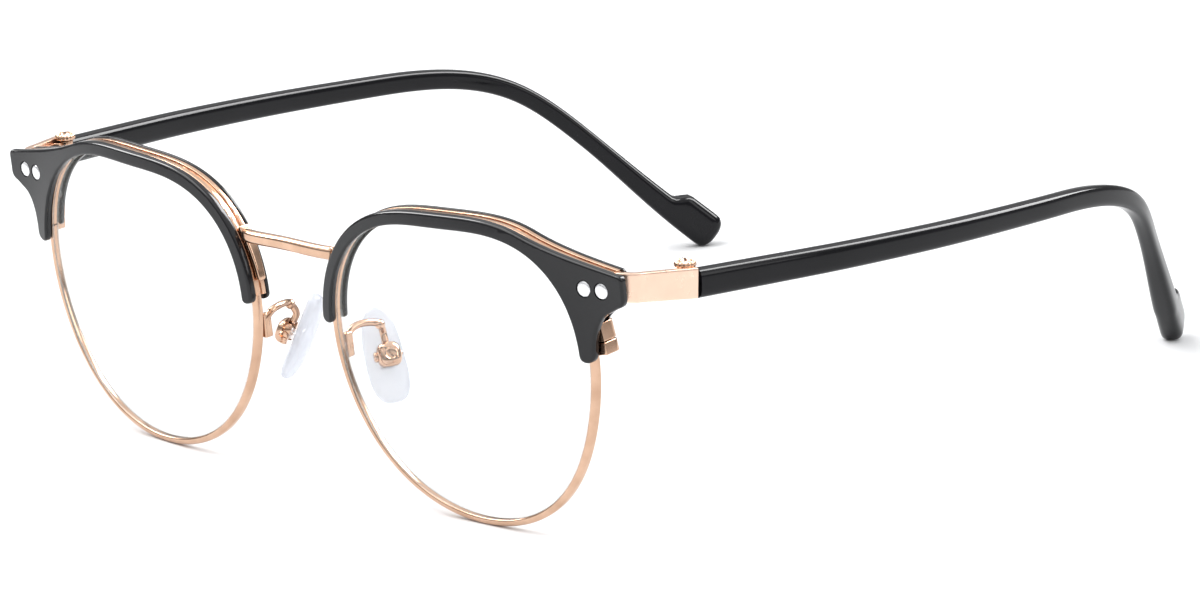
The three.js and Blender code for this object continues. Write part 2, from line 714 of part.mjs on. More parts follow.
// Metal insert: a boss on the pad screw, and a small plate moulded into the pad.
function insertSolid(growth) {
  const stem = new THREE.BoxGeometry(bossAcross * 0.8 + 2 * growth, 2 * bossRadius * 0.8 + 2 * growth, padOffset + growth)
    .translate(0, 0, (padOffset + growth) / 2);
  const plate = new THREE.BoxGeometry(2.4 + 2 * growth, 3.6 + 2 * growth, 0.5 + 2 * growth)
    .translate(0, 0, padOffset);
  return join(stem, plate);
}

function padInsert() {
  const boss = new THREE.CylinderGeometry(bossRadius, bossRadius, bossAcross, 14).rotateZ(Math.PI / 2);
  const bore = new THREE.CylinderGeometry(padScrewRadius + screwClearance, padScrewRadius + screwClearance, 9, 12)
    .rotateZ(Math.PI / 2);
  return cut(join(insertSolid(0), boss), bore).applyMatrix4(padFrame);
}

// Silicone pad: an oval cushion, fuller at its lower end, with a pocket for the insert.
function nosePad() {
  const cushion = reshape(new THREE.SphereGeometry(1, 18, 10), (p) => {
    const lower = 1 - 0.16 * p.y;
    p.set(p.x * padHalfWidth * lower, p.y * padHalfLength, padOffset + p.z * (padThickness / 2));
  });
  return cut(cushion, insertSolid(0.12)).applyMatrix4(padFrame);
}

// Wire arm from the back of the eyewire, over in an arch, and down to the pad box.
function padArm() {
  const onBox = (along) => new THREE.Vector3(0, boxLength / 2 + along, 0.1).applyMatrix4(padFrame);
  const fromPivot = (x, y, z) => new THREE.Vector3(x, y, z).add(padPivot);
  const path = new THREE.CatmullRomCurve3([
    fromPivot(-1.9, -6, 2),
    fromPivot(-2.15, -6.1, 3.6),
    fromPivot(-2.3, -5.2, 4.6),
    fromPivot(-2.2, -3.4, 4.95),
    fromPivot(-1.9, -1.5, 5),
    fromPivot(-1.6, 0, 4.75),
    onBox(1.6),
    onBox(0.12),
  ]);
  const wire = new THREE.Shape();
  wire.absarc(0, 0, padArmRadius, 0, 2 * Math.PI, false);
  const rod = new THREE.ExtrudeGeometry(wire, { steps: 26, extrudePath: path, curveSegments: 4 });
  const strap = new THREE.BoxGeometry(rimHeight, padStrapDepth, 4)
    .translate(...placeOnRim(183, rimHeight / 2, rimDepth + seam + padStrapDepth / 2));
  return join(rod, curved(strap).applyMatrix4(eye.matrix));
}

// ---- Assembly -------------------------------------------------------------------------------

function part(name, geometry, look) {
  const mesh = new THREE.Mesh(geometry, new THREE.MeshStandardMaterial(look));
  mesh.name = name;
  mesh.userData.look = look;
  return mesh;
}

function rightSide() {
  const side = new THREE.Group();
  const front = eye.clone();
  front.add(
    part('eyewire', eyewire(), roseGold),
    part('lens', lens(), clearLens),
    part('brow_front', browFront(), blackAcetate),
    part('brow_back', browBack(), blackAcetate),
    part('brow_bar', browBar(), roseGold),
    part('rivet_inner', rivet(rivetPlaces()[0]), polishedSteel),
    part('rivet_outer', rivet(rivetPlaces()[1]), polishedSteel),
    part('lock_block_upper', lockHalf(1), roseGold),
    part('lock_block_lower', lockHalf(-1), roseGold),
    part('lock_screw', lockScrew(), roseGold),
  );
  const hingeParts = new THREE.Group();
  hingeParts.position.copy(hinge);
  hingeParts.rotation.z = -plateSplay * DEG;
  hingeParts.add(
    part('hinge_front', hingeFront(), roseGold),
    part('hinge_screw', hingeScrew(), polishedSteel),
  );
  side.add(
    front,
    hingeParts,
    part('endpiece', endpiece(), satinGold),
    part('hinge_rear', hingeRear(), roseGold),
    part('temple', temple(), blackAcetate),
    part('temple_core', templeCore(), polishedSteel),
    part('pad_arm', padArm(), roseGold),
    part('pad_box', padBox(), roseGold),
    part('pad_screw', padScrew(), roseGold),
    part('pad_insert', padInsert(), polishedSteel),
    part('nose_pad', nosePad(), clearSilicone),
  );
  side.updateMatrixWorld(true);
  return side;
}

// Left side: the right one mirrored, piece by piece.
function leftSide(right) {
  const side = new THREE.Group();
  right.traverse((mesh) => {
    if (!mesh.isMesh) return;
    const placed = mesh.geometry.clone().applyMatrix4(mesh.matrixWorld);
    side.add(part(`left_${mesh.name}`, mirrored(placed), mesh.userData.look));
  });
  return side;
}

const glasses = new THREE.Group();
const right = rightSide();
const left = leftSide(right);
right.traverse((mesh) => {
  if (mesh.isMesh) mesh.name = `right_${mesh.name}`;
});
glasses.add(part('bridge', bridge(), roseGold), right, left);

// The origin is the middle of the footprint, on the surface that the glasses rest on.
const extent = new THREE.Box3().setFromObject(glasses, true);
const middle = extent.getCenter(new THREE.Vector3());
glasses.position.set(-middle.x, -middle.y, -extent.min.z);

export default glasses;
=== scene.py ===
import math
from math import cos, pi, radians, sin

import bmesh
import bpy
from mathutils import Matrix, Vector


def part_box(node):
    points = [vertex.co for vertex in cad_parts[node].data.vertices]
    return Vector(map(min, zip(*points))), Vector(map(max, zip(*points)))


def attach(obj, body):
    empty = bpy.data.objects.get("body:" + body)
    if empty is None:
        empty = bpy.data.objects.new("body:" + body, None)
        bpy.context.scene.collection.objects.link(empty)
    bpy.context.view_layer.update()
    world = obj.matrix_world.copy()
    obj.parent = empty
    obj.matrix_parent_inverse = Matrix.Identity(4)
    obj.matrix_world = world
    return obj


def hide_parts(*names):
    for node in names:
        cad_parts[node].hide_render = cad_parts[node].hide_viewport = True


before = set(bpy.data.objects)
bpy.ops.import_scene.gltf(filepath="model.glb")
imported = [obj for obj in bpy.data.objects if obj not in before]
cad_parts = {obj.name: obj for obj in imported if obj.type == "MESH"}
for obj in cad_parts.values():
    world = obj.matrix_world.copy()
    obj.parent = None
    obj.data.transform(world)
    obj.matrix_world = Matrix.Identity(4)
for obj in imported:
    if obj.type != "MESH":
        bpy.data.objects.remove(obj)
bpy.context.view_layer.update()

# ---- Camera, floor and light ----------------------------------------------------------------
# Looking at the front's right-hand side from a little above, with a long lens. The floor is a pale
# sheet under a studio sky that is dim low down and bright overhead. Two soft lamps light it all,
# and two strips that only glossy surfaces answer to draw the long highlights.

def look(at, azimuth, elevation, distance, roll):
    back = Vector((sin(azimuth) * cos(elevation), -cos(azimuth) * cos(elevation), sin(elevation)))
    right = Vector((cos(azimuth), sin(azimuth), 0.0))
    up = back.cross(right)
    right, up = right * cos(roll) + up * sin(roll), up * cos(roll) - right * sin(roll)
    turn = Matrix((right, up, back)).transposed().to_4x4()
    turn.translation = at + back * distance
    return turn


CAMERA = {"lens": 166.8, "azimuth": 0.8021, "elevation": 0.2591, "distance": 0.8748, "roll": -0.0479}

camera = bpy.data.objects.new("camera", bpy.data.cameras.new("camera"))
bpy.context.collection.objects.link(camera)
camera.data.sensor_width = 36
camera.data.lens = CAMERA["lens"]
camera.data.clip_start = 0.05
rim_low = Vector(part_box("right_eyewire")[0])
target = Vector((0.01494, rim_low.y + 0.05158, 0.0210))
camera.matrix_world = look(target, CAMERA["azimuth"], CAMERA["elevation"], CAMERA["distance"], CAMERA["roll"])
bpy.context.scene.camera = camera


def floor_sheet():
    bm = bmesh.new()
    bmesh.ops.create_grid(bm, x_segments=1, y_segments=1, size=6)
    mesh = bpy.data.meshes.new("floor")
    bm.to_mesh(mesh)
    bm.free()
    return bpy.data.objects.new("floor", mesh)


floor = floor_sheet()
bpy.context.collection.objects.link(floor)
floor_paint = bpy.data.materials.new("floor_paint")
floor_paint.use_nodes = True
floor_finish = floor_paint.node_tree.nodes["Principled BSDF"].inputs
floor_finish["Base Color"].default_value = (0.93, 0.93, 0.935, 1)
floor_finish["Roughness"].default_value = 0.9
floor_finish["Specular IOR Level"].default_value = 0.1
floor.data.materials.append(floor_paint)

SKY_GREYS = ((0.0, 0.55), (0.14, 0.42), (0.30, 0.30), (0.52, 1.25), (1.0, 1.35))

sky = bpy.data.worlds.new("studio_sky")
bpy.context.scene.world = sky
sky.use_nodes = True
sky_nodes, sky_links = sky.node_tree.nodes, sky.node_tree.links
direction = sky_nodes.new("ShaderNodeTexCoord")
height = sky_nodes.new("ShaderNodeSeparateXYZ")
fade = sky_nodes.new("ShaderNodeValToRGB")
sky_links.new(direction.outputs["Generated"], height.inputs["Vector"])
sky_links.new(height.outputs["Z"], fade.inputs["Fac"])
sky_links.new(fade.outputs["Color"], sky_nodes["Background"].inputs["Color"])
stops = fade.color_ramp.elements
for place, grey in SKY_GREYS:
    stop = stops.new(place) if 0 < place < 1 else stops[-1 if place else 0]
    stop.color = (grey * 0.98, grey * 0.99, grey, 1)
sky_nodes["Background"].inputs["Strength"].default_value = 0.95
bpy.context.scene.view_settings.view_transform = "Standard"


def soft_lamp(name, place, aim, size, power, glossy_only=False):
    lamp = bpy.data.objects.new(name, bpy.data.lights.new(name, "AREA"))
    bpy.context.collection.objects.link(lamp)
    lamp.data.shape = "RECTANGLE"
    lamp.data.size, lamp.data.size_y = size
    lamp.data.energy = power
    lamp.matrix_world = (aim - place).to_track_quat("-Z", "Y").to_matrix().to_4x4()
    lamp.matrix_world.translation = place
    lamp.visible_diffuse = not glossy_only


soft_lamp("top_softbox", Vector((-0.25, -0.25, 0.75)), Vector((0, 0, 0)), (0.7, 0.5), 4.0)
soft_lamp("rear_strip", Vector((0.26, 0.67, 0.69)), Vector((0, 0, 0.02)), (0.45, 0.8), 20.0,
          glossy_only=True)
soft_lamp("front_strip", Vector((-0.7, -0.26, 0.67)), Vector((0, 0, 0.02)), (0.35, 0.6), 9.0,
          glossy_only=True)
soft_lamp("side_softbox", Vector((0.75, 0.25, 0.35)), Vector((0, 0, 0.03)), (0.25, 0.4), 0.8)

# ---- Eyewires -------------------------------------------------------------------------------
# Rolled and bent copper-nickel wire, polished and plated in rose gold. Each runs right round
# its lens, with a groove inside, and is split where the lock block closes it.

MM = 0.001
WRAP, TILT = radians(3.5), radians(4)


def opening_radius(angle):
    """How far the lens opening's edge lies from its middle, at an angle from the temple side."""
    return (24.825 + 1.275 * cos(2 * angle) - 0.5 * cos(4 * angle)
            + 1.0 * sin(3 * angle) - 0.3 * cos(3 * angle))


def outline_point(degrees, offset):
    """A flat point beside the opening's edge; the offset is outwards."""
    reach = opening_radius(radians(degrees)) + offset
    return Vector((reach * cos(radians(degrees)), reach * sin(radians(degrees))))


def sag(x, z):
    """How far the front's curve lies behind the middle of the lens."""
    reach = math.hypot(x, z)
    return reach ** 2 / 244 - 0.013 * max(0.0, reach - 25) ** 2


eye_turn = Matrix.Rotation(TILT, 4, "X") @ Matrix.Rotation(WRAP, 4, "Z")


def reshape(bm, move):
    for vert in bm.verts:
        vert.co = move(vert.co)


def bend_to_front(bm):
    reshape(bm, lambda p: Vector((p.x, p.y + sag(p.x, p.z), p.z)))


def from_section(section, steps=256, gap=0.0, centre=0.0):
    """A section of (offset from the opening, depth) turned round the lens, flat."""
    bm = bmesh.new()
    hub = 100.0
    verts = [bm.verts.new((hub + offset, depth, 0)) for offset, depth in section]
    edges = [bm.edges.new((a, b)) for a, b in zip(verts, verts[1:] + verts[:1])]
    start = Matrix.Rotation(-centre - gap / 2, 4, "Y")
    bmesh.ops.transform(bm, matrix=start, verts=bm.verts)
    bmesh.ops.spin(bm, geom=verts + edges, cent=(0, 0, 0), axis=(0, -1, 0), dvec=(0, 0, 0),
                   angle=2 * pi - gap, steps=steps, use_merge=gap == 0, use_duplicate=False)
    if gap:
        bmesh.ops.holes_fill(bm, edges=[e for e in bm.edges if e.is_boundary], sides=0)

    def onto_outline(p):
        angle = math.atan2(p.z, p.x)
        reach = opening_radius(angle) + math.hypot(p.x, p.z) - hub
        return Vector((reach * cos(angle), p.y, reach * sin(angle)))

    reshape(bm, onto_outline)
    return bm


def rounded_box_section(low, high, radius, steps=4):
    """Corners of a rounded rectangle, from its low and high corners."""
    corners = ((high[0], high[1], 0), (low[0], high[1], 90),
               (low[0], low[1], 180), (high[0], low[1], 270))
    points = []
    for x, y, turn in corners:
        cx = x - radius if x == high[0] else x + radius
        cy = y - radius if y == high[1] else y + radius
        points += [(cx + radius * cos(radians(turn + 90 * i / steps)),
                    cy + radius * sin(radians(turn + 90 * i / steps))) for i in range(steps + 1)]
    return points


def shader(name, colour, roughness, metallic=0.0):
    material = bpy.data.materials.new(name)
    material.use_nodes = True
    bsdf = material.node_tree.nodes["Principled BSDF"]
    bsdf.inputs["Base Color"].default_value = (*colour, 1)
    bsdf.inputs["Roughness"].default_value = roughness
    bsdf.inputs["Metallic"].default_value = metallic
    return material, material.node_tree, bsdf


def noise(tree, scale, detail=3.0, stretch=(1, 1, 1)):
    place = tree.nodes.new("ShaderNodeTexCoord")
    mapping = tree.nodes.new("ShaderNodeMapping")
    mapping.inputs["Scale"].default_value = stretch
    texture = tree.nodes.new("ShaderNodeTexNoise")
    texture.inputs["Scale"].default_value = scale
    texture.inputs["Detail"].default_value = detail
    tree.links.new(place.outputs["Object"], mapping.inputs["Vector"])
    tree.links.new(mapping.outputs["Vector"], texture.inputs["Vector"])
    return texture.outputs["Fac"]


def spread(tree, value, low, high):
    """Maps a noise's usual span, 0.3 to 0.7, onto low to high."""
    ramp = tree.nodes.new("ShaderNodeMapRange")
    ramp.inputs["From Min"].default_value = 0.3
    ramp.inputs["From Max"].default_value = 0.7
    ramp.inputs["To Min"].default_value = low
    ramp.inputs["To Max"].default_value = high
    tree.links.new(value, ramp.inputs["Value"])
    return ramp.outputs["Result"]


def tint(tree, value, dark, light):
    mix = tree.nodes.new("ShaderNodeMix")
    mix.data_type = "RGBA"
    mix.inputs["A"].default_value = (*dark, 1)
    mix.inputs["B"].default_value = (*light, 1)
    tree.links.new(spread(tree, value, 0.0, 1.0), mix.inputs["Factor"])
    return mix.outputs["Result"]


def bump(tree, bsdf, height, strength, distance):
    node = tree.nodes.new("ShaderNodeBump")
    node.inputs["Strength"].default_value = strength
    node.inputs["Distance"].default_value = distance
    tree.links.new(height, node.inputs["Height"])
    tree.links.new(node.outputs["Normal"], bsdf.inputs["Normal"])


def rose_gold(name, roughness, colour_dark, colour_light, grain):
    material, tree, bsdf = shader(name, colour_light, roughness, metallic=1.0)
    tree.links.new(tint(tree, noise(tree, 260), colour_dark, colour_light), bsdf.inputs["Base Color"])
    tree.links.new(spread(tree, noise(tree, 1500), roughness * 0.9, roughness * 1.12),
                   bsdf.inputs["Roughness"])
    bump(tree, bsdf, noise(tree, 5200, 2.0), grain, 0.00001)
    return material


# The polished gold is painted darker than the plating's own colour, which the satin gold keeps. This is
# painted shade that holds down the bright lamps' reflections.
shaded_polished_gold = rose_gold("shaded_polished_rose_gold", 0.14, (0.52, 0.33, 0.225), (0.66, 0.44, 0.315), 0.05)


def show(name, bm, material, body, nodes, crisp=35):
    """Makes a finished object, in metres, that rides on a body and stands for CAD nodes."""
    mesh = bpy.data.meshes.new(name)
    bm.to_mesh(mesh)
    mesh.transform(Matrix.Diagonal((MM, MM, MM, 1)))
    mesh.materials.append(material)
    for polygon in mesh.polygons:
        polygon.use_smooth = True
    mesh.set_sharp_from_angle(angle=radians(crisp))
    piece = bpy.data.objects.new(name, mesh)
    bpy.context.collection.objects.link(piece)
    even = piece.modifiers.new("even_normals", "WEIGHTED_NORMAL")
    even.keep_sharp = True
    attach(piece, body)
    if nodes:
        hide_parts(*nodes)
    return piece


def show_pair(kind, bm, material, nodes, body="front", crisp=35):
    """The right-hand piece, and its mirror image on the left."""
    bmesh.ops.recalc_face_normals(bm, faces=bm.faces)
    for side, hand in (("right", 1), ("left", -1)):
        half = bm.copy()
        if hand < 0:
            bmesh.ops.scale(half, vec=(-1, 1, 1), verts=half.verts)
            bmesh.ops.reverse_faces(half, faces=half.faces)
        rides = body if body == "front" else f"{side}_{body}"
        show(f"{side}_{kind}", half, material, rides, [f"{side}_{node}" for node in nodes], crisp)
        half.free()
    bm.free()


WIRE_HEIGHT, WIRE_DEPTH, WIRE_ROUND = 1.15, 1.4, 0.45
LOCK_DEGREES, LOCK_SPLIT, LOCK_RADIUS = 15, 0.3, 27.5

wire = from_section(rounded_box_section((0.0, 0.0), (WIRE_HEIGHT, WIRE_DEPTH), WIRE_ROUND, 5),
                    gap=LOCK_SPLIT / LOCK_RADIUS, centre=radians(LOCK_DEGREES))
bend_to_front(wire)
bmesh.ops.transform(wire, matrix=eye_turn, verts=wire.verts)
lowest = min(v.co.z for v in wire.verts)
foremost = min(v.co.y for v in wire.verts)
nearest = min(v.co.x for v in wire.verts)
eye_place = Vector((rim_low.x / MM - nearest, rim_low.y / MM - foremost, rim_low.z / MM - lowest))
to_front = Matrix.Translation(eye_place) @ eye_turn
bmesh.ops.translate(wire, vec=eye_place, verts=wire.verts)
show_pair("rim_wire", wire, shaded_polished_gold, ["eyewire"], crisp=50)


def set_in_front(bm):
    """Bends a flat piece to the front's curve and puts it in its place."""
    bend_to_front(bm)
    bmesh.ops.transform(bm, matrix=to_front, verts=bm.verts)


def in_front(x, y, z):
    """Where a point of a flat piece goes when the piece is set in front."""
    return to_front @ Vector((x, y + sag(x, z), z))


# ---- Lenses ---------------------------------------------------------------------------------
# Clear moulded discs, edged to the opening with a ridge that snaps into the wire's groove. The
# faces are polished, and the edge is ground, so it shows as a faint grey line.

def clear_lens_material():
    material, tree, bsdf = shader("clear_lens", (0.72, 0.75, 0.74), 0.02)
    facing = tree.nodes.new("ShaderNodeLayerWeight")
    facing.inputs["Blend"].default_value = 0.35
    cover = tree.nodes.new("ShaderNodeMapRange")
    cover.inputs["To Min"].default_value = 0.008
    cover.inputs["To Max"].default_value = 0.16
    tree.links.new(facing.outputs["Facing"], cover.inputs["Value"])
    tree.links.new(cover.outputs["Result"], bsdf.inputs["Alpha"])
    tree.links.new(spread(tree, noise(tree, 60), 0.015, 0.04), bsdf.inputs["Roughness"])
    bsdf.inputs["IOR"].default_value = 1.5
    return material


def ground_edge_material():
    material, tree, bsdf = shader("ground_lens_edge", (0.50, 0.53, 0.51), 0.45)
    tree.links.new(tint(tree, noise(tree, 2500), (0.40, 0.43, 0.41), (0.60, 0.63, 0.61)),
                   bsdf.inputs["Base Color"])
    bsdf.inputs["Alpha"].default_value = 0.35
    bump(tree, bsdf, noise(tree, 6000, 2.0), 0.2, 0.00001)
    return material


LENS_FRONT, LENS_BACK = 0.05, 1.35
LENS_RIDGE = ((0.10, 0.12), (0.12, 0.45), (0.42, 0.70), (0.12, 0.95), (0.10, 1.28))
LENS_PLAY = 0.12


def lens_body():
    bm = bmesh.new()
    shares = [i / 14 for i in range(15)]
    edge = 50.0
    front = [(edge * s, LENS_FRONT) for s in shares]
    ridge = [(edge + out, depth) for out, depth in LENS_RIDGE]
    back = [(edge * s, LENS_BACK) for s in reversed(shares)]
    verts = [bm.verts.new((x, y, 0)) for x, y in front + ridge + back]
    edges = [bm.edges.new(pair) for pair in zip(verts, verts[1:])]
    bmesh.ops.spin(bm, geom=verts + edges, cent=(0, 0, 0), axis=(0, -1, 0), dvec=(0, 0, 0),
                   angle=2 * pi, steps=192, use_merge=True, use_duplicate=False)
    bmesh.ops.remove_doubles(bm, verts=bm.verts, dist=1e-4)

    def fill_opening(p):
        reach = math.hypot(p.x, p.z)
        angle = math.atan2(p.z, p.x)
        rim = opening_radius(angle) - LENS_PLAY
        r = rim * reach / edge if reach <= edge else rim + reach - edge
        return Vector((r * cos(angle), p.y, r * sin(angle)))

    reshape(bm, fill_opening)
    return bm


lens = lens_body()
set_in_front(lens)
show_pair("lens_disc", lens, clear_lens_material(), ["lens"])
ground_edge = ground_edge_material()
for side in ("right", "left"):
    disc = bpy.data.objects[f"{side}_lens_disc"]
    disc.data.materials.append(ground_edge)
    centre = eye_place * MM
    for polygon in disc.data.polygons:
        across = Vector((abs(polygon.center.x), polygon.center.y, polygon.center.z)) - centre
        flat = eye_turn.inverted() @ across
        angle = math.atan2(flat.z, flat.x)
        if math.hypot(flat.x, flat.z) > (opening_radius(angle) - 0.10) * MM:
            polygon.material_index = 1

# ---- Front brow halves ----------------------------------------------------------------------
# Cut from sheet acetate, tumbled until the edges are round, and polished. Each follows the top
# of its lens, swells into the endpiece block and ends in a short fang down the temple side.

BROW_LIP, BROW_RISE = 0.4, 1.75
END_REACH, END_TOP, END_BOTTOM = 34.0, 18.4, 13.7


def arc(start, end, offset, steps):
    return [outline_point(start + (end - start) * i / steps, offset) for i in range(steps + 1)]


def bezier(steps, *controls):
    points = []
    for i in range(steps + 1):
        t = i / steps
        level = [Vector(c) for c in controls]
        while len(level) > 1:
            level = [a.lerp(b, t) for a, b in zip(level, level[1:])]
        points.append(level[0])
    return points


def brow_top(reach, corner, offset=BROW_RISE):
    """The brow's upper line, from the nose side over the lens to the endpiece block."""
    start = outline_point(56, offset)
    end = Vector((reach - corner, END_TOP - BROW_RISE + offset))
    pull = (start.x + (end.x - start.x) * 0.39, start.y + (end.y - start.y) * 0.64)
    return arc(171.5, 57, offset, 60)[:-1] + bezier(26, start, pull, end)


def brow_outline(reach, end_height, end_width):
    """The whole brow, with its fang ending at a height and of a width."""
    upper, lower = 1.0, 1.3
    end_angle = math.degrees(math.asin(end_height / opening_radius(radians(12))))
    inner = arc(171.5, end_angle, -BROW_LIP, 84)
    heel = inner[-1]
    toe = Vector((heel.x + end_width, heel.y + 0.3))
    drop = end_width * 0.62
    throat = Vector((min(30.4, reach - 2), 12.1))
    foot = Vector((reach - lower, END_BOTTOM - 0.35))
    points = list(inner)
    points += bezier(12, heel, (heel.x + 0.1, heel.y - drop), (toe.x - 0.1, toe.y - drop), toe)[1:]
    points += bezier(14, toe, (toe.x + 0.1, throat.y - 1.8), throat + Vector((-0.6, -0.35)), throat)[1:]
    points += bezier(3, throat, foot)[1:]
    points += bezier(8, foot, (reach, END_BOTTOM), (reach, END_BOTTOM + lower))[1:]
    points += bezier(8, (reach, END_TOP - upper), (reach, END_TOP), (reach - upper, END_TOP))
    points += list(reversed(brow_top(reach, upper)))[1:]
    along = (outline_point(172.5, 0) - outline_point(171.5, 0)).normalized() * (BROW_RISE + BROW_LIP) * 0.6
    points += bezier(12, points[-1], points[-1] + along, inner[0] + along, inner[0])[1:-1]
    return points


def plate(points, front, depth, front_round, back_round, steps=4):
    """A flat plate of an outline, with its front and back edges rounded."""
    bm = bmesh.new()
    face = bm.faces.new([bm.verts.new((p[0], front, p[1])) for p in points])
    made = bmesh.ops.extrude_face_region(bm, geom=[face], use_keep_orig=True)
    moved = [g for g in made["geom"] if isinstance(g, bmesh.types.BMVert)]
    bmesh.ops.translate(bm, vec=(0, depth, 0), verts=moved)
    bmesh.ops.recalc_face_normals(bm, faces=bm.faces)
    for level, radius in ((front, front_round), (front + depth, back_round)):
        rim = [e for e in bm.edges if all(abs(v.co.y - level) < 1e-5 for v in e.verts)]
        if radius:
            bmesh.ops.bevel(bm, geom=rim, offset=radius, offset_type="OFFSET", segments=steps,
                            profile=0.5, affect="EDGES", material=-1, clamp_overlap=False)
    return bm


def slice_up(bm, step, axes=("x", "z")):
    """Cuts a plate's large faces into small ones, so that it bends smoothly."""
    for axis in axes:
        values = [getattr(v.co, axis) for v in bm.verts]
        normal = Vector((axis == "x", axis == "y", axis == "z"))
        k = math.floor(min(values) / step) + 1
        while k * step < max(values):
            bmesh.ops.bisect_plane(bm, geom=bm.verts[:] + bm.edges[:] + bm.faces[:], dist=1e-5,
                                   plane_co=normal * k * step, plane_no=normal)
            k += 1


def temporary(bm):
    mesh = bpy.data.meshes.new("temporary")
    bm.to_mesh(mesh)
    bm.free()
    piece = bpy.data.objects.new("temporary", mesh)
    bpy.context.collection.objects.link(piece)
    return piece


def cut(bm, *tools):
    """The solid that is left when the tools are taken away."""
    body = temporary(bm)
    held = [temporary(tool) for tool in tools]
    for tool in held:
        step = body.modifiers.new("cut", "BOOLEAN")
        step.operation = "DIFFERENCE"
        step.solver = "EXACT"
        step.object = tool
    result = bmesh.new()
    result.from_object(body, bpy.context.evaluated_depsgraph_get())
    for piece in [body, *held]:
        mesh = piece.data
        bpy.data.objects.remove(piece)
        bpy.data.meshes.remove(mesh)
    return result


def turned(profile, steps, axis="y", place=(0, 0, 0)):
    """A profile of (radius, height) turned into a solid round an axis."""
    bm = bmesh.new()
    verts = [bm.verts.new((r, h, 0)) for r, h in profile]
    edges = [bm.edges.new(pair) for pair in zip(verts, verts[1:])]
    bmesh.ops.spin(bm, geom=verts + edges, cent=(0, 0, 0), axis=(0, -1, 0), dvec=(0, 0, 0),
                   angle=2 * pi, steps=steps, use_merge=True, use_duplicate=False)
    bmesh.ops.remove_doubles(bm, verts=bm.verts, dist=1e-5)
    if axis == "z":
        bmesh.ops.transform(bm, matrix=Matrix.Rotation(pi / 2, 4, "X"), verts=bm.verts)
    if axis == "x":
        bmesh.ops.transform(bm, matrix=Matrix.Rotation(-pi / 2, 4, "Z"), verts=bm.verts)
    bmesh.ops.translate(bm, vec=place, verts=bm.verts)
    bmesh.ops.recalc_face_normals(bm, faces=bm.faces)
    return bm


def acetate(name, colour, low, high, specular):
    material, tree, bsdf = shader(name, colour, 0.15)
    lighter = tuple(c * 1.5 for c in colour)
    tree.links.new(tint(tree, noise(tree, 90), colour, lighter), bsdf.inputs["Base Color"])
    tree.links.new(spread(tree, noise(tree, 420), low, high), bsdf.inputs["Roughness"])
    bsdf.inputs["Specular IOR Level"].default_value = specular
    bsdf.inputs["IOR"].default_value = 1.48
    bump(tree, bsdf, noise(tree, 700, 2.0), 0.05, 0.00005)
    return material


black_acetate = acetate("black_acetate", (0.005, 0.005, 0.006), 0.09, 0.15, 0.4)

RIVETS = [(26.7, 15.7), (29.9, 15.7)]
FRONT_START, FRONT_DEPTH = -1.5, 1.1
BAR_START = -0.3
BACK_START, BACK_DEPTH = 1.8, 0.6
SINK_RADIUS, SINK_FLOOR, PIN_ROOM = 1.29, FRONT_START + 0.45, 0.68
SLICE = 1.6

brow = plate(brow_outline(END_REACH, 5.6, 2.8), FRONT_START, FRONT_DEPTH, 0.42, 0.12)
sink_profile = [(0, -3), (SINK_RADIUS, -3), (SINK_RADIUS, SINK_FLOOR), (PIN_ROOM, SINK_FLOOR),
                (PIN_ROOM, 1), (0, 1)]
sinks = [turned(sink_profile, 40, place=(x, 0, z)) for x, z in RIVETS]
brow = cut(brow, *sinks)
slice_up(brow, SLICE)
set_in_front(brow)
show_pair("brow_front_half", brow, black_acetate, ["brow_front"], crisp=40)

# ---- Rear brow halves -----------------------------------------------------------------------
# Thinner sheet acetate behind the metal, a little shorter than the front at its temple end. Its
# fang stops higher up, clear of the lock block.

BACK_REACH = 31.9

back = plate(brow_outline(BACK_REACH, 7.4, 2.2), BACK_START, BACK_DEPTH, 0.1, 0.24)
slice_up(back, SLICE)
set_in_front(back)
show_pair("brow_rear_half", back, black_acetate, ["brow_back"], crisp=40)

# ---- Brow bars ------------------------------------------------------------------------------
# A rose-gold strip bent over the top of each lens and held between the two brow halves. Only its
# polished upper edge shows, as two rails of metal with a shallow groove between them.

def gather(*solids):
    """Several closed solids in one mesh."""
    whole = bmesh.new()
    for solid in solids:
        mesh = bpy.data.meshes.new("part")
        solid.to_mesh(mesh)
        whole.from_mesh(mesh)
        bpy.data.meshes.remove(mesh)
        solid.free()
    return whole


def top_bar():
    """Two thin rails and the floor of the groove between them."""
    rails = []
    for start, depth, sunk in ((0, 0.72, 0), (0.62, 0.76, 0.28), (1.28, 0.72, 0)):
        top = brow_top(BACK_REACH, 0.6, BROW_RISE - 0.1 - sunk)
        under = brow_top(BACK_REACH, 0.6, BROW_RISE - 0.6)
        rails.append(plate(top + under[::-1], BAR_START + start, depth, 0.08, 0.08, steps=3))
    return gather(*rails)


bar = top_bar()
slice_up(bar, SLICE, axes=("x",))
set_in_front(bar)
show_pair("brow_bar_strip", bar, shaded_polished_gold, ["brow_bar"], crisp=40)

# ---- Rivets ---------------------------------------------------------------------------------
# Turned steel pins with flat polished heads, pressed in from the front through both brow halves
# and the metal between them.

def steel_material():
    material, tree, bsdf = shader("polished_steel", (0.86, 0.86, 0.87), 0.3, metallic=1.0)
    tree.links.new(tint(tree, noise(tree, 900), (0.80, 0.80, 0.82), (0.92, 0.92, 0.93)),
                   bsdf.inputs["Base Color"])
    tree.links.new(spread(tree, noise(tree, 3000), 0.22, 0.38), bsdf.inputs["Roughness"])
    bump(tree, bsdf, noise(tree, 9000, 2.0), 0.08, 0.00001)
    return material


steel = steel_material()
for where, (x, z) in zip(("inner", "outer"), RIVETS):
    top = FRONT_START
    pin = turned([(0, top - 0.06), (0.7, top - 0.05), (1.02, top), (1.16, top + 0.10),
                  (1.2, top + 0.22), (1.2, top + 0.4), (0.6, top + 0.4), (0.6, 2.3), (0.5, 2.42),
                  (0, 2.42)], 48, place=(x, 0, z))
    set_in_front(pin)
    show_pair(f"rivet_{where}_pin", pin, steel, [f"rivet_{where}"])

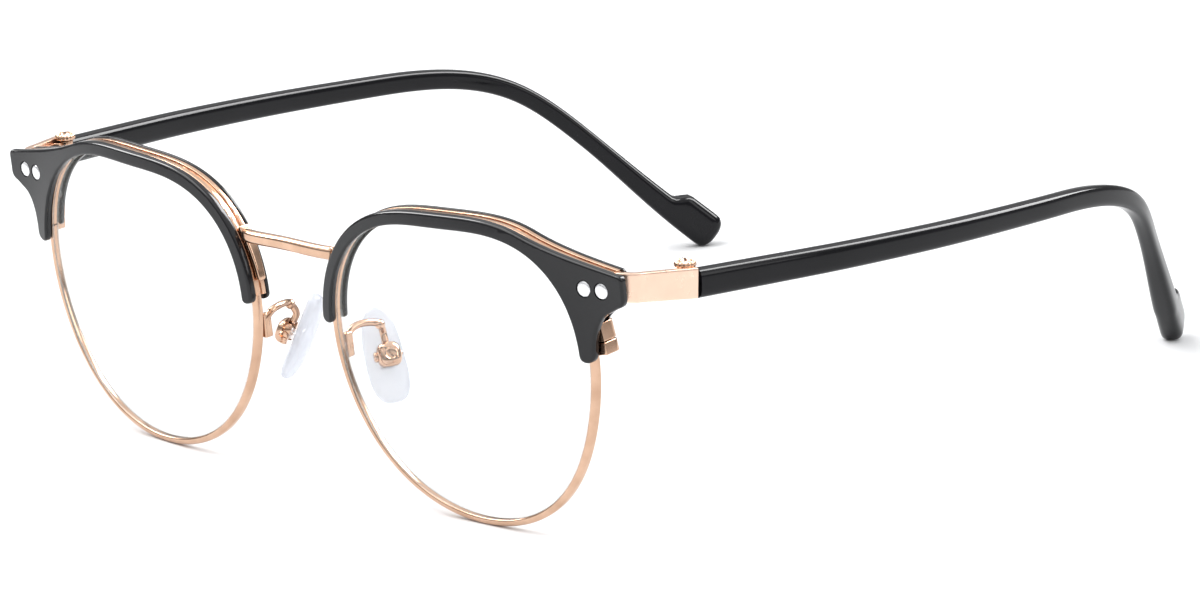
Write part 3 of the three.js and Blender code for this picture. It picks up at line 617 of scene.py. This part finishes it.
# ---- Rim locks ------------------------------------------------------------------------------
# Two small blocks brazed to the ends of the eyewire, beside the fang of the brow. A screw from
# above, sunk in a round seat, pulls them together and closes the wire on the lens.

LOCK = {"width": 2.4, "depth": 3.4, "upper": 2.76, "lower": 1.86, "gap": 0.18, "off_rim": 1.25}
LOCK_LEAN = radians(11)


def stand_on_rim(bm):
    foot = outline_point(LOCK_DEGREES, LOCK["off_rim"])
    bmesh.ops.transform(bm, matrix=Matrix.Rotation(-LOCK_LEAN, 4, "Y"), verts=bm.verts)
    bmesh.ops.translate(bm, vec=(foot.x, sag(foot.x, foot.y), foot.y), verts=bm.verts)
    bmesh.ops.transform(bm, matrix=to_front, verts=bm.verts)


def lock_block(bottom, height):
    """A block with a rounded outer corner at its back."""
    width, depth = LOCK["width"], LOCK["depth"]
    middle = depth - width / 2
    around = [(0, 0), (width, 0)]
    around += [(width / 2 + width / 2 * cos(radians(a)), middle + width / 2 * sin(radians(a)))
               for a in range(0, 91, 10)]
    around += [(0, depth)]
    bm = bmesh.new()
    face = bm.faces.new([bm.verts.new((x, y, bottom)) for x, y in around])
    made = bmesh.ops.extrude_face_region(bm, geom=[face], use_keep_orig=True)
    moved = [g for g in made["geom"] if isinstance(g, bmesh.types.BMVert)]
    bmesh.ops.translate(bm, vec=(0, 0, height), verts=moved)
    bmesh.ops.recalc_face_normals(bm, faces=bm.faces)
    rims = [e for e in bm.edges if abs(e.verts[0].co.z - e.verts[1].co.z) < 1e-6]
    bmesh.ops.bevel(bm, geom=rims, offset=0.16, offset_type="OFFSET", segments=3, profile=0.5,
                    affect="EDGES", material=-1, clamp_overlap=True)
    return bm


lock_axis = (LOCK["width"] / 2, LOCK["depth"] * 0.55, 0)
upper = lock_block(LOCK["gap"] / 2, LOCK["upper"])
seat = turned([(0, 1.5), (0.95, 1.5), (0.95, 3.2), (1.05, 3.4), (0, 3.4)], 32, axis="z", place=lock_axis)
upper = cut(upper, seat)
stand_on_rim(upper)
show_pair("lock_upper_block", upper, shaded_polished_gold, ["lock_block_upper"])
lower = lock_block(-LOCK["gap"] / 2 - LOCK["lower"], LOCK["lower"])
stand_on_rim(lower)
show_pair("lock_lower_block", lower, shaded_polished_gold, ["lock_block_lower"])


def slotted_screw(radius, head_radius, bottom, head_bottom, head_top, slot_width, slot_depth):
    """A screw along Z with a domed, slotted head."""
    dome = (head_top - head_bottom) * 0.35
    body = turned([(0, bottom), (radius * 0.8, bottom), (radius, bottom + 0.15),
                   (radius, head_bottom), (head_radius, head_bottom), (head_radius, head_top - dome),
                   (head_radius * 0.86, head_top - dome * 0.35), (head_radius * 0.5, head_top),
                   (0, head_top)], 40, axis="z")
    slot = bmesh.new()
    bmesh.ops.create_cube(slot, size=1)
    bmesh.ops.scale(slot, vec=(head_radius * 3, slot_width, slot_depth * 2), verts=slot.verts)
    bmesh.ops.translate(slot, vec=(0, 0, head_top), verts=slot.verts)
    return cut(body, slot)


screw = slotted_screw(0.5, 0.85, -1.95, 1.58, 2.25, 0.26, 0.28)
bmesh.ops.translate(screw, vec=lock_axis, verts=screw.verts)
stand_on_rim(screw)
show_pair("lock_screw_pin", screw, shaded_polished_gold, ["lock_screw"])

# ---- Bridge ---------------------------------------------------------------------------------
# A gently bowed bar, round at the back and a little flatter in front, brazed at each end to a
# short leg that follows the brow bar's nose side.

def smooth_path(points, samples=240):
    """A smooth curve through points, given as evenly spaced places along it."""
    points = [Vector(p) for p in points]
    ends = [points[0] * 2 - points[1], *points, points[-1] * 2 - points[-2]]
    dense, steps = [], 24
    for a, b, c, d in zip(ends, ends[1:], ends[2:], ends[3:]):
        for i in range(steps):
            t = i / steps
            dense.append(0.5 * ((2 * b) + (c - a) * t + (2 * a - 5 * b + 4 * c - d) * t ** 2
                                + (3 * b - a - 3 * c + d) * t ** 3))
    dense.append(points[-1])
    reach = [0.0]
    for p, q in zip(dense, dense[1:]):
        reach.append(reach[-1] + (q - p).length)
    even, k = [], 0
    for i in range(samples + 1):
        goal = reach[-1] * i / samples
        while k < len(dense) - 2 and reach[k + 1] < goal:
            k += 1
        span = reach[k + 1] - reach[k]
        even.append(dense[k].lerp(dense[k + 1], (goal - reach[k]) / span if span else 0))
    return even


def along_path(path, section, size, rings=80, side=Vector((0, 0, 1)), round_ends=0.0, extra=()):
    """A bar of a section laid along a path, in `rings` steps and the extra ones. `side` is roughly
    the section's second direction. `size` gives its two half sizes, and a lift, at a share of the
    path, and round_ends is the share over which each end closes in."""
    bm = bmesh.new()
    loop = [bm.verts.new((x, 0, z)) for x, z in section]
    face = bm.faces.new(loop)
    made = bmesh.ops.extrude_face_region(bm, geom=[face], use_keep_orig=True)
    moved = [g for g in made["geom"] if isinstance(g, bmesh.types.BMVert)]
    bmesh.ops.translate(bm, vec=(0, 1, 0), verts=moved)
    bmesh.ops.recalc_face_normals(bm, faces=bm.faces)
    stations = [i / rings for i in range(1, rings)]
    if round_ends:
        tip = [round_ends * (1 - cos(radians(a))) for a in (25, 45, 65, 80)]
        stations = tip + [s for s in stations if round_ends < s < 1 - round_ends] + [1 - t for t in tip]
    for station in sorted([*stations, *extra]):
        bmesh.ops.bisect_plane(bm, geom=bm.verts[:] + bm.edges[:] + bm.faces[:], dist=1e-7,
                               plane_co=(0, station, 0), plane_no=(0, 1, 0))
    last = len(path) - 1

    def onto_path(p):
        share = min(max(p.y, 0.0), 1.0)
        spot = share * last
        k = min(int(spot), last - 1)
        place = path[k].lerp(path[k + 1], spot - k)
        along = (path[min(k + 2, last)] - path[max(k - 1, 0)]).normalized()
        across = along.cross(side).normalized()
        rise = across.cross(along)
        wide, high, *lift = size(share)
        if round_ends:
            near = min(share, 1 - share) / round_ends
            shrink = math.sqrt(max(0.0, 1 - (1 - min(near, 1.0)) ** 2)) * 0.75 + 0.25
            wide, high = wide * shrink, high * shrink
        return place + across * p.x * wide + rise * (p.z * high + (lift[0] if lift else 0))

    reshape(bm, onto_path)
    bmesh.ops.recalc_face_normals(bm, faces=bm.faces)
    return bm


def ring(count, flatten=1.0):
    """Points of a unit circle, squared off where x would pass `flatten`."""
    angles = [2 * pi * i / count for i in range(count)]
    return [(min(cos(a), flatten), sin(a)) for a in angles]


LEG_OFFSET = 2.25
BAR_MIDDLE = BAR_START + 1.0
leg_path = smooth_path([in_front(p.x, BAR_MIDDLE, p.y) for p in arc(149, 167, LEG_OFFSET, 12)], 160)
leg = along_path(leg_path, rounded_box_section((-1, -1), (1, 1), 0.35, 5),
                 lambda s: (0.42, 0.95 - 0.3 * s), rings=48, side=Vector((0, 1, 0)), round_ends=0.05)
root = outline_point(152, LEG_OFFSET)
bridge_end = in_front(root.x, BAR_START + 0.6, root.y)


def bridge_bar():
    """Bowed forwards and a little upwards at its middle."""
    x, y, z = bridge_end
    path = smooth_path([(-x, y, z), (-x * 0.7, y - 0.63, z + 0.1), (0, y - 0.9, z + 0.3),
                        (x * 0.7, y - 0.63, z + 0.1), (x, y, z)])
    return along_path(path, ring(32, 0.9), lambda s: (0.95, 1.08), rings=64, round_ends=0.035)


bridge = bridge_bar()
for hand in (1, -1):
    half = leg.copy()
    if hand < 0:
        bmesh.ops.scale(half, vec=(-1, 1, 1), verts=half.verts)
        bmesh.ops.reverse_faces(half, faces=half.faces)
    spare = bpy.data.meshes.new("spare")
    half.to_mesh(spare)
    bridge.from_mesh(spare)
    bpy.data.meshes.remove(spare)
    half.free()
leg.free()
bmesh.ops.recalc_face_normals(bridge, faces=bridge.faces)
show("bridge_bar", bridge, shaded_polished_gold, "front", ["bridge"])

# ---- Endpieces ------------------------------------------------------------------------------
# A blanked plate with a satin finish. Its tab is riveted between the brow halves, and it bends back
# into the flat side plate that carries the hinge.

satin_gold = rose_gold("satin_rose_gold", 0.30, (0.84, 0.59, 0.455), (0.88, 0.63, 0.49), 0.04)

hinge_low, hinge_high = (Vector(corner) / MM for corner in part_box("right_hinge_screw"))
hinge = (hinge_low + hinge_high) / 2
SPLAY, FALL = radians(23.6), radians(3.4)
PLATE = {"length": 11.3, "thick": 1.2, "inset": 2.6, "setback": 0.9}
STACK = 1.85
plate_turn = Matrix.Rotation(-SPLAY, 4, "Z") @ Matrix.Rotation(-FALL, 4, "X")
knuckle_centre = Vector((hinge.x, hinge.y, hinge_low.z + STACK))
plate_start = knuckle_centre - plate_turn @ Vector((-PLATE["inset"], PLATE["length"] - PLATE["setback"], 0))
to_plate = Matrix.Translation(plate_start) @ plate_turn


def side_plate():
    """The tab and side plate as one strip, drawn along a bent path from the rivets to the hinge."""
    tab = [in_front(u, BAR_MIDDLE, 16.0) for u in (25.4, 27.5, 29.5, 31.5)]
    outer = [to_plate @ Vector((-PLATE["thick"] / 2, y, 0)) for y in (1.6, 3.5, 6, 9, PLATE["length"])]
    bend = smooth_path(tab + outer, 300)
    section = rounded_box_section((-1, -1), (1, 1), 0.16, 4)

    def plate_size(share):
        return PLATE["thick"] / 2, (1.75 + 0.4 * min(1, share * 3)) + 0.17 * max(0, share - 0.4)

    return along_path(bend, section, plate_size, rings=70)


endpiece = side_plate()
show_pair("endpiece_plate", endpiece, satin_gold, ["endpiece"], crisp=40)

# ---- Hinges ---------------------------------------------------------------------------------
# Three small turned knuckles: two on a leaf that is brazed inside the side plate, and one between
# them on a leaf that is buried in the temple. A slotted screw with a ribbed head pins them.

def box_piece(low, high, radius):
    bm = bmesh.new()
    bmesh.ops.create_cube(bm, size=1)
    low, high = Vector(low), Vector(high)
    bmesh.ops.scale(bm, vec=high - low, verts=bm.verts)
    bmesh.ops.translate(bm, vec=(low + high) / 2, verts=bm.verts)
    bmesh.ops.bevel(bm, geom=bm.edges[:], offset=radius, offset_type="OFFSET", segments=3, profile=0.5,
                    affect="EDGES", material=-1, clamp_overlap=True)
    return bm


def knuckle(bottom, top, radius=1.25, bore=0.72):
    r = 0.12
    return turned([(bore, bottom + r), (bore + r, bottom), (radius - r, bottom),
                   (radius - r * 0.3, bottom + r * 0.3), (radius, bottom + r), (radius, top - r),
                   (radius - r * 0.3, top - r * 0.3), (radius - r, top), (bore + r, top),
                   (bore, top - r), (bore, bottom + r)], 48, axis="z")


KNUCKLE_HEIGHT = 1.05
leaf_face = PLATE["inset"] - PLATE["thick"] - 0.02
front_hinge = gather(
    box_piece((leaf_face - 0.7, -7.4, -STACK), (leaf_face, -1.45, STACK), 0.15),
    box_piece((-0.2, -2.5, -STACK), (leaf_face, -0.85, -STACK + KNUCKLE_HEIGHT), 0.1),
    box_piece((-0.2, -2.5, STACK - KNUCKLE_HEIGHT), (leaf_face, -0.85, STACK), 0.1),
    knuckle(-STACK, -STACK + KNUCKLE_HEIGHT),
    knuckle(STACK - KNUCKLE_HEIGHT, STACK),
)
hinge_place = Matrix.Translation(knuckle_centre) @ Matrix.Rotation(-SPLAY, 4, "Z")
bmesh.ops.transform(front_hinge, matrix=hinge_place, verts=front_hinge.verts)
show_pair("hinge_front_leaf", front_hinge, shaded_polished_gold, ["hinge_front"])


RIBS = 16


def ribbed_screw():
    top = STACK + 0.2
    bm = turned([(0, -STACK), (0.5, -STACK), (0.65, -STACK + 0.15), (0.65, top), (1.35, top),
                 (1.5, top + 0.06), (1.58, top + 0.2), (1.6, top + 0.45), (1.5, top + 0.72),
                 (1.25, top + 0.93), (0.8, top + 1.08), (0.35, top + 1.12), (0, top + 1.13)],
                144, axis="z")
    for vert in bm.verts:
        reach = math.hypot(vert.co.x, vert.co.y)
        if vert.co.z > top - 0.01 and reach > 0.3:
            angle = math.atan2(vert.co.y, vert.co.x)
            fluting = 1 + 0.05 * min(1.0, reach / 1.3) * cos(RIBS * angle)
            vert.co.x *= fluting
            vert.co.y *= fluting
            vert.co.z += 0.07 * cos(RIBS * angle) * min(1.0, reach / 1.3) * (reach < 1.45)
    slot = bmesh.new()
    bmesh.ops.create_cube(slot, size=1)
    bmesh.ops.scale(slot, vec=(1.9, 0.28, 0.5), verts=slot.verts)
    bmesh.ops.translate(slot, vec=(0, 0, top + 1.15), verts=slot.verts)
    return cut(bm, slot)


pin = ribbed_screw()
bmesh.ops.transform(pin, matrix=hinge_place, verts=pin.verts)
show_pair("hinge_screw_pin", pin, shaded_polished_gold, ["hinge_screw"])

# ---- Temples --------------------------------------------------------------------------------
# Long bars of black acetate over a steel core wire, milled with rounded edges and a crowned outer
# face, and bent hot: a gentle outward bow to the ear, then down and in, with a fuller tip.

# A darker copy of the black acetate with less shine, as painted shade. It stands in for the dim studio on the
# temples' side.
shaded_temple_acetate = acetate("shaded_temple_acetate", (0.004, 0.004, 0.005), 0.09, 0.15, 0.22)
temple_start = to_plate @ Vector((-1.5, PLATE["length"] + 0.2, 0))
RUN, DROP, BOW, INSET, LOWERING = 88.0, 40.5, 4.7, 17.6, 0.34
SMOOTHING_PASSES = 250


def off_start(across, back, height):
    """A point at a distance from the temple's start, at a share of the hinge's height."""
    rise = knuckle_centre.z * height - LOWERING - temple_start.z
    return temple_start + Vector((across, back, rise))


def on_run(bow, back, height):
    return off_start(BOW * bow, RUN * back, height)


def on_drop(inset, back, height):
    return off_start(-INSET * inset, RUN + DROP * back, height)


temple_path = smooth_path([
    on_run(0, 0, 1), on_run(0.44, 0.16, 0.986), on_run(0.83, 0.33, 0.97), on_run(1, 0.57, 0.945),
    on_run(0.76, 0.83, 0.917), on_run(0.56, 0.91, 0.907), on_run(0.34, 0.989, 0.887), on_drop(0, 0.16, 0.843),
    on_drop(0.115, 0.317, 0.772), on_drop(0.265, 0.44, 0.672), on_drop(0.43, 0.56, 0.546),
    on_drop(0.74, 0.79, 0.295), on_drop(1.09, 1.043, 0.0345)], 500)
for _ in range(SMOOTHING_PASSES):
    inner = [(p + q * 2 + r) / 4 for p, q, r in zip(temple_path, temple_path[1:], temple_path[2:])]
    temple_path = [temple_path[0], *inner, temple_path[-1]]
temple_length = sum((q - p).length for p, q in zip(temple_path, temple_path[1:]))


def smoothstep(value, low, high):
    t = min(max((value - low) / (high - low), 0.0), 1.0)
    return t * t * (3 - 2 * t)


START_HEIGHT, THICKNESS = 4.4, 3.0
FLARE, WIDENING, TIP_LENGTH, TIP_ROUND = 1.1, 2.1, 9.5, 2.2


def squarish(value, power):
    """Pushes a share of a circle out towards a square; a lower power pushes further."""
    return math.copysign(abs(value) ** power, value)


def temple_size(share):
    """Half thickness, half height and lift of the section at a share of the temple's length."""
    to_end = (1 - share) * temple_length
    taper = START_HEIGHT * (1 - 0.27 * min(share / 0.72, 1))
    flare = FLARE * smoothstep(-to_end, -30, -4)
    wider = WIDENING * smoothstep(-to_end, -TIP_LENGTH - 1.6, -TIP_LENGTH + 1.4)
    thick = THICKNESS * (1 - 0.05 * min(share / 0.5, 1)) * (1 + 0.42 * smoothstep(-to_end, -34, -8))
    near = min(to_end / TIP_ROUND, 1)
    rounding = max(0.06, math.sqrt(1 - (1 - near) ** 2))
    return thick / 2 * rounding, (taper + flare + wider) / 2 * rounding, (wider - flare) / 2


temple_section = [(squarish(x, 0.62), squarish(z, 0.62)) for x, z in ring(48)]
tip_share = TIP_ROUND / temple_length
tip_rings = [1 - tip_share * (1 - sin(radians(a))) for a in (15, 30, 42, 54, 64, 73, 81)]
temple = along_path(temple_path, temple_section, temple_size, rings=170, extra=tip_rings)
barrel_room = turned([(0, -10), (1.45, -10), (1.45, 10), (0, 10)], 48, axis="z",
                     place=tuple(knuckle_centre))
temple = cut(temple, barrel_room)
show_pair("temple_bar", temple, shaded_temple_acetate, ["temple"], body="temple_arm",
          crisp=40)

aim = temple_path[12] - temple_path[0]
rear_turn = Matrix.Translation(knuckle_centre) @ Matrix.Rotation(math.atan2(-aim.x, aim.y), 4, "Z")
rear_hinge = gather(knuckle(-0.7, 0.7), box_piece((0.55, 0.2, -0.7), (1.25, 8, 0.7), 0.1))
bmesh.ops.transform(rear_hinge, matrix=rear_turn, verts=rear_hinge.verts)
show_pair("hinge_rear_leaf", rear_hinge, shaded_polished_gold, ["hinge_rear"], body="temple_arm")
for side in ("right", "left"):
    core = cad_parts[f"{side}_temple_core"]
    core.data.materials.clear()
    core.data.materials.append(steel)

# ---- Nose pads ------------------------------------------------------------------------------
# Clear silicone cushions moulded over a small steel insert. The insert's boss turns on a screw in
# a little rose-gold box, which a wire arm, brazed behind the eyewire, carries towards the nose.

def silicone_material():
    material, tree, bsdf = shader("clear_silicone", (0.88, 0.91, 0.97), 0.16)
    edge = tree.nodes.new("ShaderNodeLayerWeight")
    edge.inputs["Blend"].default_value = 0.45
    body = tree.nodes.new("ShaderNodeMapRange")
    body.inputs["To Min"].default_value = 0.45
    body.inputs["To Max"].default_value = 0.92
    tree.links.new(edge.outputs["Facing"], body.inputs["Value"])
    tree.links.new(body.outputs["Result"], bsdf.inputs["Alpha"])
    tree.links.new(tint(tree, noise(tree, 300), (0.66, 0.69, 0.77), (0.76, 0.79, 0.86)),
                   bsdf.inputs["Base Color"])
    tree.links.new(spread(tree, noise(tree, 900), 0.10, 0.20), bsdf.inputs["Roughness"])
    bsdf.inputs["IOR"].default_value = 1.41
    bump(tree, bsdf, noise(tree, 1800, 2.0), 0.05, 0.00003)
    return material


pad_long = Vector((-0.406, 0.133, 0.902)).normalized()
pad_out = Vector((-0.8, 0.42, -0.427)).normalized()
pad_across = pad_long.cross(pad_out).normalized()
pad_turn = Matrix((pad_across, pad_long, pad_across.cross(pad_long))).transposed().to_4x4()
pivot = Vector((11.5, eye_place.y + 9.7, eye_place.z - 3.95))
to_pad = Matrix.Translation(pivot) @ pad_turn
PAD = {"half_width": 3.1, "half_length": 7.5, "half_thick": 1.35, "off_pivot": 2.5}


def put_on_pad(bm):
    bmesh.ops.transform(bm, matrix=to_pad, verts=bm.verts)
    return bm


def cushion():
    """A blunt oval, flat on both faces, that curls back at its ends."""
    bm = bmesh.new()
    bmesh.ops.create_uvsphere(bm, u_segments=56, v_segments=36, radius=1)

    def pad_shape(p):
        fuller = 1 - 0.12 * p.y
        circle = max(math.sqrt(max(1 - p.y * p.y, 0.0)), 0.05)
        blunt = (1 - min(abs(p.y), 1.0) ** 2.8) ** (1 / 2.8) / circle
        flat = abs(p.z) ** 0.8 * (1 if p.z > 0 else -1)
        curl = 0.2 - 0.5 * p.y * p.y
        return Vector((p.x * PAD["half_width"] * fuller * blunt,
                       p.y * PAD["half_length"] + 0.4,
                       PAD["off_pivot"] + curl + flat * PAD["half_thick"] * blunt))

    reshape(bm, pad_shape)
    return bm


show_pair("nose_pad_cushion", put_on_pad(cushion()), silicone_material(),
          ["nose_pad"], body="nose_pad_unit", crisp=60)
insert = gather(
    turned([(0.45, -0.9), (0.75, -0.9), (0.75, 0.9), (0.45, 0.9), (0.45, -0.9)], 32, axis="x"),
    box_piece((-0.88, -0.55, 0.3), (0.88, 0.55, 2.4), 0.12),
    box_piece((-1.2, -1.8, 2.05), (1.2, 1.8, 2.55), 0.2),
)
show_pair("pad_insert_plate", put_on_pad(insert), steel, ["pad_insert"],
          body="nose_pad_unit")


def pad_cup():
    """A rounded box, ball-like outside, with a dimple in its back and a slot for the boss."""
    bm = bmesh.new()
    bmesh.ops.create_uvsphere(bm, u_segments=64, v_segments=40, radius=1)
    reshape(bm, lambda p: Vector([squarish(c, 0.72) for c in p]))
    bmesh.ops.scale(bm, vec=(1.9, 2.0, 1.55), verts=bm.verts)
    bmesh.ops.translate(bm, vec=(0, 0, -0.3), verts=bm.verts)
    dimple = turned([(0, -2.6), (0.95, -2.6), (0.95, -1.75), (0.82, -1.62), (0.55, -1.55),
                     (0, -1.52)], 40, axis="z")
    hollow = box_piece((-1.0, -3, -0.9), (1.0, 3, 3), 0.2)
    mouth = box_piece((-4, -4, 0.65), (4, 4, 4), 0.2)
    return cut(bm, dimple, hollow, mouth)


show_pair("pad_box_cup", put_on_pad(pad_cup()), shaded_polished_gold, ["pad_box"])
pad_screw = slotted_screw(0.4, 0.8, -2.2, 1.75, 2.35, 0.2, 0.2)
bmesh.ops.transform(pad_screw, matrix=Matrix.Rotation(pi / 2, 4, "Y"), verts=pad_screw.verts)
show_pair("pad_screw_pin", put_on_pad(pad_screw), shaded_polished_gold, ["pad_screw"])


ARM_RADIUS, KNOB_RADIUS = 0.57, 0.8
ARM_BENDS = [(-1.9, -6, 2), (-2.15, -6.1, 3.8), (-2.3, -5.2, 4.9), (-2.2, -3.6, 5.35),
             (-1.7, -1.8, 5.3), (-1.2, -0.4, 4.85)]


def pad_arm():
    """A strap behind the eyewire, a wire looped up from it to the box, and a knob at its bend."""
    on_box = [to_pad @ Vector((0, 2.0 + along, 0.1)) for along in (1.6, -0.2)]
    path = smooth_path([*[pivot + Vector(bend) for bend in ARM_BENDS], *on_box], 240)
    wire = along_path(path, ring(20), lambda s: (ARM_RADIUS, ARM_RADIUS), rings=90,
                      side=Vector((0.98, 0.1, 0.15)), round_ends=0.03)
    corner = bmesh.new()
    bmesh.ops.create_uvsphere(corner, u_segments=28, v_segments=18, radius=KNOB_RADIUS)
    bmesh.ops.translate(corner, vec=pivot + Vector(ARM_BENDS[-1]) + Vector((0, 0.05, -0.1)),
                        verts=corner.verts)
    spot = outline_point(183, 0.575)
    strap = box_piece((-0.5, -0.75, -2), (0.5, 0.75, 2), 0.3)
    bmesh.ops.translate(strap, vec=(spot.x, 2.3, spot.y), verts=strap.verts)
    set_in_front(strap)
    return gather(wire, corner, strap)


show_pair("pad_arm_wire", pad_arm(), shaded_polished_gold, ["pad_arm"])
